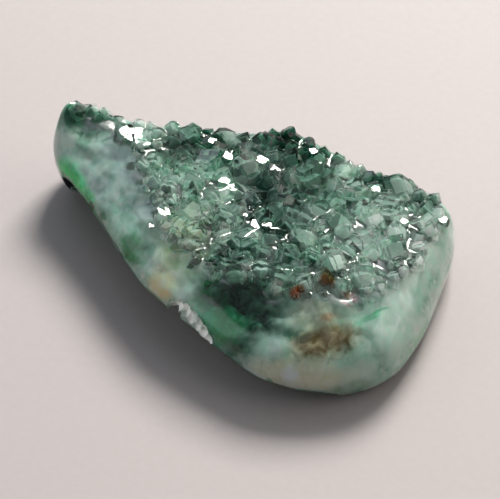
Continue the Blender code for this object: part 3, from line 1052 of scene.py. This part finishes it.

# %% [markdown]
# ## Cloudy chalcedony
#
# Light enters chalcedony and wanders about in it before it comes out, so it has no hard surface to the eye.
# Subsurface scattering gives that. Its colour isn't even: clouds of milk white, copper green, moss, smoke
# and iron rust lie in it. Some clouds are painted light instead: a vivid green band above the hollow's mouth
# at the tail is painted glow, the cream above the hollow is partly its own colour and partly painted glow,
# both for light that shines through the thin lip, and two pale streaks along the lower edge are a painted
# highlight. Each cloud here is a soft-edged ball or streak at its place in the stone, with an edge made
# ragged by noise, laid over a mottled ground. It is looked up at the place on the surface above the sunk
# body, which every point of it carries, so it shows where it is meant to however deep that lies.
# In the crystals' feet, cells of about a millimetre are darker or paler than their neighbours, as painted
# shade and painted highlight for how differently each crystal's faces catch the light.

# %% The chalcedony material
# Cycles draws this material with up to 39 clouds. With 40 it runs out of stack space and draws it black.
# Place in mm, reach in mm along its own axes, turn about Z in degrees, colour, colour of its wisps, cover
CLOUDS = [
    ((2.0, 0.8, 4.4), (7.6, 3.0, 2.8), 125, "#10382F", "#42786A", 0.75),
    ((-7.4, -2.6, 4.4), (5.0, 2.4, 2.4), -35, "#A6BEBA", "#D6DCD8", 0.8),
    ((-1.0, 6.8, 4.8), (4.6, 2.4, 2.6), -10, "#0A4634", "#1E7A5C", 1.0),
    ((4.8, -6.8, 3.7), (3.4, 3.0, 2.8), 15, "#02281E", "#1C7C5A", 1.0),
    ((-5.6, 4.4, 4.6), (5.0, 2.0, 2.4), -25, "#0C4A38", "#2A7C60", 0.95),
    ((12.0, -1.6, 3.7), (2.6, 3.8, 2.4), 0, "#D6F0E2", "#F0F8F2", 0.85),
    ((9.8, 2.6, 4.8), (3.8, 4.2, 2.0), 0, "#E0F0E4", "#FFFFF8", 0.95),
    ((-0.9, -4.6, 4.4), (2.4, 3.2, 1.9), 20, "#DCE8C2", "#F8F8EA", 0.9),
    ((6.6, 7.4, 4.2), (4.4, 1.5, 2.0), -5, "#0E5038", "#3A8064", 0.85),
    ((9.6, -7.6, 2.0), (3.6, 1.6, 1.4), 25, "#F4EACC", "#FFFAEA", 0.9),
    ((-11.6, 0.3, 5.5), (2.6, 1.1, 1.2), 15, "#1C5A44", "#5C9C84", 0.9),
    ((-5.6, -4.6, 3.6), (3.0, 1.2, 1.4), -30, "#8FC9AE", "#C8E2D2", 0.6),
    ((0.6, 1.2, 4.4), (1.6, 2.2, 1.6), 20, "#061E18", "#24564A", 0.8),
    ((2.0, -3.4, 4.4), (1.6, 2.0, 1.6), 10, "#0C342A", "#3E7A6C", 0.8),
    ((10.3, -5.8, 3.9), (2.6, 1.2, 1.5), 50, "#8E7252", "#D8CAB0", 0.95),
    ((7.7, -7.5, 3.4), (1.5, 1.06, 1.0), 20, "#D0E8DA", "#FFFFFF", 0.9),
    ((13.4, -1.2, 1.2), (0.8, 3.4, 0.8), -8, "#7FD0A0", "#B0E0C0", 0.6),
    ((8.8, -4.6, 4.6), (2.0, 1.3, 1.2), 40, "#B4B09C", "#ECE8DC", 0.8),
    ((2.2, -6.2, 3.4), (1.1, 1.8, 1.6), 15, "#0A7840", "#149456", 0.85),
    ((12.4, -5.9, 1.2), (1.6, 1.2, 0.8), 50, "#5F9870", "#A8C8A8", 0.6),
    ((-6.4, -4.9, 2.7), (2.6, 0.7, 0.5), -30, "#8FD0A8", "#CFE8CC", 0.8),
    ((4.0, -7.6, 3.1), (2.4, 1.5, 1.5), 15, "#50C890", "#98F0C8", 1.0),
    # Painted highlight: the next two paint a pale line along the lower edge of the lip
    ((3.6, -8.25, 2.1), (1.6, 0.5, 0.45), -12, "#F0F8F0", "#FFFFFF", 0.9),
    ((6.2, -8.6, 1.6), (2.2, 0.5, 0.4), -4, "#F0F8F0", "#FFFFFF", 0.9),
    ((2.4, -7.7, 2.8), (1.9, 0.6, 0.8), -18, "#FFFBEE", "#FFFFFF", 0.95),
    # Painted glow: the next two are a vivid green band above the hollow's mouth at the tail
    ((-11.2, -2.4, 3.0), (1.5, 0.9, 1.2), -28, "#70FFB8", "#50E8A0", 1.0),
    ((-10.2, -2.9, 3.0), (1.4, 0.8, 0.9), -28, "#70FFB8", "#50E8A0", 1.0),
    ((-2.6, -6.3, 3.0), (1.2, 0.7, 1.2), -28, "#9CC4B4", "#D0E0D8", 0.6),
    # Painted glow along the hollow's mouth, for light through the thin lip
    ((-9.0, -3.5, 2.9), (1.2, 0.7, 0.7), -28, "#60F0A0", "#28B070", 0.9),
    # Cream, lightened to near white: partly its own colour, partly painted glow of light through the thin lip
    ((-0.7, -7.0, 3.1), (1.4, 1.6, 1.4), 0, "#FFF2C8", "#FFFCE8", 1.0),
    ((-3.9, -5.9, 3.5), (1.3, 1.06, 1.1), -28, "#1C9458", "#58C090", 0.9),
    ((8.3, -2.5, 5.0), (0.7, 0.7, 1.2), 0, "#5A3008", "#8A5A1E", 1.0),
    ((9.4, -7.9, 2.3), (0.6, 0.5, 0.6), 0, "#FFFFF6", "#FFFFFF", 0.9),
    ((7.3, -4.1, 4.6), (0.6, 0.5, 0.9), 0, "#8A4A1E", "#A8683E", 0.95),
    ((10.0, -2.6, 4.5), (0.6, 0.5, 0.9), 30, "#A03808", "#B85C30", 1.0),
    ((11.8, -2.9, 4.4), (1.3, 0.30, 0.8), 65, "#60C098", "#60C098", 0.6),
]
def chalcedony_material():
    """Cloudy chalcedony, which light soaks into. It has no gloss, because it lies inside the quartz."""
    material, tree, shader = new_material("mossy_chalcedony_in_quartz")
    for name, value in {
        "Specular IOR Level": 0.0,
        "Roughness": 0.6,
        "Subsurface Weight": 1.0,
        "Subsurface Scale": 0.5 * MM,
        "Subsurface Radius": (0.75, 1.0, 0.9),
    }.items():
        shader.inputs[name].default_value = value
    place = add(tree, "ShaderNodeTexCoord").outputs["Object"]
    coarse = add(tree, "ShaderNodeTexNoise", {"Vector": place, "Scale": 1 / (2.2 * MM), "Detail": 5.0})
    fine = fine_noise(tree, place)
    ground = add(tree, "ShaderNodeValToRGB", {"Fac": coarse})
    ramp = ground.color_ramp
    ramp.elements[0].position = 0.32
    ramp.elements[0].color = linear("#3F8C6E")
    ramp.elements[1].position = 0.70
    ramp.elements[1].color = linear("#F2F8F2")
    ramp.elements.new(0.5).color = linear("#B4D8C6")
    wisps = add(tree, "ShaderNodeMapRange", {"Value": fine, **WISPS})
    upright = add(tree, "ShaderNodeVectorMath", {0: place, 1: (1, 1, 0.16)}, operation="MULTIPLY")
    fibres = add(tree, "ShaderNodeTexNoise", {"Vector": upright, "Scale": 1 / (0.45 * MM), "Detail": 3.0})
    combed = add(
        tree, "ShaderNodeMapRange", {"Value": fibres, "From Min": 0.40, "From Max": 0.64, "To Max": 0.7}
    )
    colour = tinted(tree, wisps, ground, linear("#D5E2D4"))
    broken, lining, grown_face = (
        add(tree, "ShaderNodeAttribute", attribute_name=kind).outputs["Fac"]
        for kind in ("broken", "lining", "grown")
    )
    cut_face = add(tree, "ShaderNodeMath", {0: grown_face, 1: broken}, operation="MAXIMUM")
    new_face = add(tree, "ShaderNodeMath", {0: cut_face, 1: lining}, operation="MAXIMUM")
    above = add(tree, "ShaderNodeAttribute", attribute_name="surface_place").outputs["Vector"]
    looked_up = {"Factor": new_face, "A": above, "B": place}
    seen = add(tree, "ShaderNodeMix", looked_up, data_type="VECTOR").outputs[1]
    colour = clouded_colour(tree, CLOUDS, seen, fine, colour)
    # Painted shade and highlight: darker and paler cells in the feet, for how each crystal's faces catch
    # light
    facet_shade_cells = add(tree, "ShaderNodeTexVoronoi", {"Vector": place, "Scale": 1 / (1.1 * MM)})
    shade = add(tree, "ShaderNodeSeparateColor", {0: facet_shade_cells.outputs["Color"]})
    standing = add(tree, "ShaderNodeMath", {0: 1.0, 1: grown_face}, operation="SUBTRACT")
    combed_here = add(tree, "ShaderNodeMath", {0: combed, 1: standing}, operation="MULTIPLY")
    colour = tinted(tree, combed_here, colour, tinted(tree, 0.35, colour, linear("#E4E6E0")))
    for least, most, cover, tint in ((0.40, 0.10, 0.75, "#0C3C30"), (0.70, 0.95, 0.4, "#EAF6EE")):
        cell = {"Value": shade, "From Min": least, "From Max": most, "To Max": cover}
        part = add(tree, "ShaderNodeMapRange", cell)
        here = add(tree, "ShaderNodeMath", {0: part, 1: grown_face}, operation="MULTIPLY")
        colour = tinted(tree, here, colour, linear(tint))
    tree.links.new(colour, shader.inputs["Base Color"])
    return material


chalcedony = chalcedony_material()
print("made", chalcedony.name, "with", len(CLOUDS), "clouds")

# %% [markdown]
# ## The two pieces
#
# The skin is the ground body with its crystals, less what is missing. The inner body starts from the same
# ground body, sunk in along its normals: hardly at all by the edge, where chalcedony reaches the surface,
# most up the flank, a little less under the crust, and deeper again in two places where the stone is clear.

# %% Make the skin and the inner body
UNDER_EDGE = 0.05 * MM
UNDER_FLANK = 0.75 * MM
UNDER_CRUST = 0.45 * MM
# The height from which each depth grows, and over how much more height it does
FLANK_FROM = 2.4 * MM
FLANK_OVER = 1.6 * MM
CLEAR_FROM = 2 * MM
CLEAR_OVER = 1.5 * MM
# The tail's tip is thin, so the depth shrinks to a share over a stretch of the length in front of it
TAIL_END = 0.48
TAIL_STRETCH = 0.10
TAIL_LEAST = 0.15
# Clearer places: place in shares of the length and width, extra depth and reach in millimetres
CLEARER = [
    (0.160, -0.370, 0.8, 2.4),
    (0.060, 0.060, 0.5, 2.2),
]


def ring_inside(share):
    """The outline at a share of the way up the flank, seen from above."""
    return [p + inwards(p) * run * share for p, _, run, _ in edge]


def widened(outline, far):
    """An outline, moved away from its middle by a distance."""
    middle = sum(outline, Vector((0, 0))) / len(outline)
    return [p + (p - middle).normalized() * far for p in outline]


# The glassy place where hardly any crystals grew
BARE = on_plan((0.170, -0.405))
BARE_REACH = 2.5 * MM
CRUST_FROM = 2.6 * MM  # height from which small crystals grow


def with_crust(mesh, outlines):
    """Marks the points of a body where small crystals grow: high up, and inside every outline given."""
    values = []
    for v in mesh.vertices:
        plan = on_drawing(v.co)
        inner = all(inside(plan, outline) for outline in outlines)
        values.append(float(v.co.z > CRUST_FROM and inner and (plan - BARE).length > BARE_REACH))
    mesh.attributes.new("crust", "FLOAT", "POINT").data.foreach_set("value", values)
    return mesh


def sunk_body(name):
    """The ground body, sunk in along its normals by a depth that varies."""
    mesh = with_crust(body_mesh(name), [ring_inside(0.80), widened(crust_outline, 0.9 * MM)])
    shares = np.zeros(len(mesh.vertices), np.float32)
    mesh.attributes["crust"].data.foreach_get("value", shares)
    moved = []
    for v in mesh.vertices:
        plan = on_drawing(v.co)
        high = min(max((v.co.z - FLANK_FROM) / FLANK_OVER, 0), 1)
        depth = UNDER_EDGE + (UNDER_FLANK - UNDER_EDGE) * high
        depth += (UNDER_CRUST - UNDER_FLANK) * float(shares[v.index] and inside(plan, crust_outline))
        for along, across, extra, reach in CLEARER:
            far = (plan - on_plan((along, across))).length / (reach * MM)
            upper = min(max((v.co.z - CLEAR_FROM) / CLEAR_OVER, 0), 1)
            depth += extra * MM * math.exp(-far * far) * upper
        depth *= min(max((plan.x / LENGTH + TAIL_END) / TAIL_STRETCH, TAIL_LEAST), 1)
        # Noise at two sizes, because the border between chalcedony and quartz is uneven
        depth *= 1 + 0.6 * noise.noise(v.co / (1.1 * MM)) + 0.3 * noise.noise(v.co / (0.5 * MM))
        moved.append(v.co - v.normal * depth)
    above = mesh.attributes.new("surface_place", "FLOAT_VECTOR", "POINT")
    above.data.foreach_set("vector", np.ravel([tuple(v.co) for v in mesh.vertices]))
    for v, place in zip(mesh.vertices, moved):
        v.co = place
    return mesh


skin = grown(
    "quartz_skin",
    with_crust(body, [widened(crust_outline, 1.0 * MM), ring_inside(0.92)]),
    Places=seeds_and_glints,
    Habits=habits,
    Small_Habits=small_habits,
    Missing=skin_cuts,
    Share=1.0,
    Sunk=0.0,
    Small_Spacing=0.62 * MM,
    Small_Least=0.15 * MM,
    Small_Most=0.38 * MM,
    Seed=11,
    Finish=quartz,
)
# Some other seeds leave doubled faces in the inner body's join, so a new one is checked in the export
heart = grown(
    "chalcedony_body",
    sunk_body("sunk_body"),
    Places=seeds,
    Habits=small_habits,
    Small_Habits=small_habits,
    Missing=heart_cuts,
    Share=0.66,
    Sunk=-0.50,
    Small_Spacing=0.9 * MM,
    Small_Least=0.22 * MM,
    Small_Most=0.40 * MM,
    Seed=13,
    Finish=chalcedony,
)


def told(obj):
    """Prints a piece's size and whether it is closed."""
    bm = bmesh.new()
    bm.from_mesh(obj.data)
    open_edges = sum(not e.is_manifold for e in bm.edges)
    triangles = sum(len(f.verts) - 2 for f in bm.faces)
    print(f"{obj.name}: {triangles} triangles, {open_edges} open edges, {bm.calc_volume() / MM**3:.0f} mm3")
    bm.free()


for piece in (skin, heart):
    told(piece)

# %% [markdown]
# ## Floor, light and picture
#
# The stone lies on a plain pale floor. The main light is small and stands behind the stone, so that only
# faces which lie almost flat throw it at the camera and glint. A wide light behind it and two large ones at
# the sides shine into the stone and give the polish something to reflect. The surround is dim, because
# a bright one lays a grey veil over the dark green.

# %% Stage and light
FLOOR_DROP = 0.02 * MM  # a gap that keeps the clear back from touching the floor's face


def floor_material():
    """Matt board with a faint grain."""
    material, tree, shader = new_material("matt_pale_board")
    shader.inputs["Roughness"].default_value = 0.7
    place = add(tree, "ShaderNodeTexCoord").outputs["Object"]
    grain = add(tree, "ShaderNodeTexNoise", {"Vector": place, "Scale": 1 / (0.5 * MM), "Detail": 3.0})
    colour = tinted(tree, grain, linear("#878180"), linear("#8D8786"))
    tree.links.new(colour, shader.inputs["Base Color"])
    return material


floor_data = bpy.data.meshes.new("floor")
HALF = 0.6  # half of the floor's width, in metres
corners = [(x * HALF, y * HALF, -FLOOR_DROP) for x, y in ((-1, -1), (1, -1), (1, 1), (-1, 1))]
floor_data.from_pydata(corners, [], [(0, 1, 2, 3)])
floor_data.materials.append(floor_material())
floor = bpy.data.objects.new("floor", floor_data)
bpy.context.scene.collection.objects.link(floor)


# Width and height in metres, power in watts, degrees round from the camera, degrees up, metres away, tint
LIGHTS = {
    "main_light": (0.13, 0.10, 3.2, MAIN_ROUND, MAIN_UP, 0.35, "#FFFAF4"),
    "window_light": (0.80, 0.45, 1.6, 180, 38, 0.60, "#EAF2FF"),
    "right_light": (0.90, 0.60, 3.2, 100, 28, 0.65, "#FFF8F0"),
    "left_light": (0.80, 0.50, 1.5, -95, 22, 0.65, "#F4F8FF"),
}
for name, (width, height, power, turn, rise, far, tint) in LIGHTS.items():
    data = bpy.data.lights.new(name, "AREA")
    data.shape = "RECTANGLE"
    data.size = width
    data.size_y = height
    data.energy = power
    data.color = linear(tint)[:3]
    way = seen_from(CAMERA_TURN + math.radians(turn), math.radians(rise))
    look_at(bpy.data.objects.new(name, data), AIM + way * far, AIM)
world = bpy.data.worlds.new("pale_surround")
bpy.context.scene.world = world
world.use_nodes = True
sky = world.node_tree.nodes["Background"]
sky.inputs["Color"].default_value = linear("#E4ECF2")
heading = add(world.node_tree, "ShaderNodeTexCoord").outputs["Generated"]
raised = add(world.node_tree, "ShaderNodeSeparateXYZ", {0: heading}).outputs["Z"]
# Direction upwards from 0 at the horizon to 1 overhead, then the strength at each
dome = add(
    world.node_tree,
    "ShaderNodeMapRange",
    {"Value": raised, "From Min": 0.0, "From Max": 0.65, "To Min": 0.34, "To Max": 0.26},
)
world.node_tree.links.new(dome.outputs[0], sky.inputs["Strength"])

scene = bpy.context.scene
scene.view_settings.view_transform = "Standard"
scene.cycles.max_bounces = 16
scene.cycles.transmission_bounces = 12
scene.cycles.glossy_bounces = 8
scene.cycles.diffuse_bounces = 6
scene.cycles.caustics_refractive = True
scene.cycles.caustics_reflective = False
scene.cycles.sample_clamp_indirect = 4.0
scene.cycles.use_denoising = True
print("lights:", len(LIGHTS))

# %% [markdown]
# ## Tell the frame
#
# Both pieces move with the one body that the imported model has. The skin stands for the imported stone,
# which is hidden.

# %% Ride, replace and finish
for piece in (skin, heart):
    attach(piece, "root")
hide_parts("stone")
for helper_collection in (skin_cuts, heart_cuts, habits, small_habits):
    for obj in list(helper_collection.objects):
        bpy.data.objects.remove(obj)
    bpy.data.collections.remove(helper_collection)
for obj in (seeds, seeds_and_glints):
    bpy.data.objects.remove(obj)
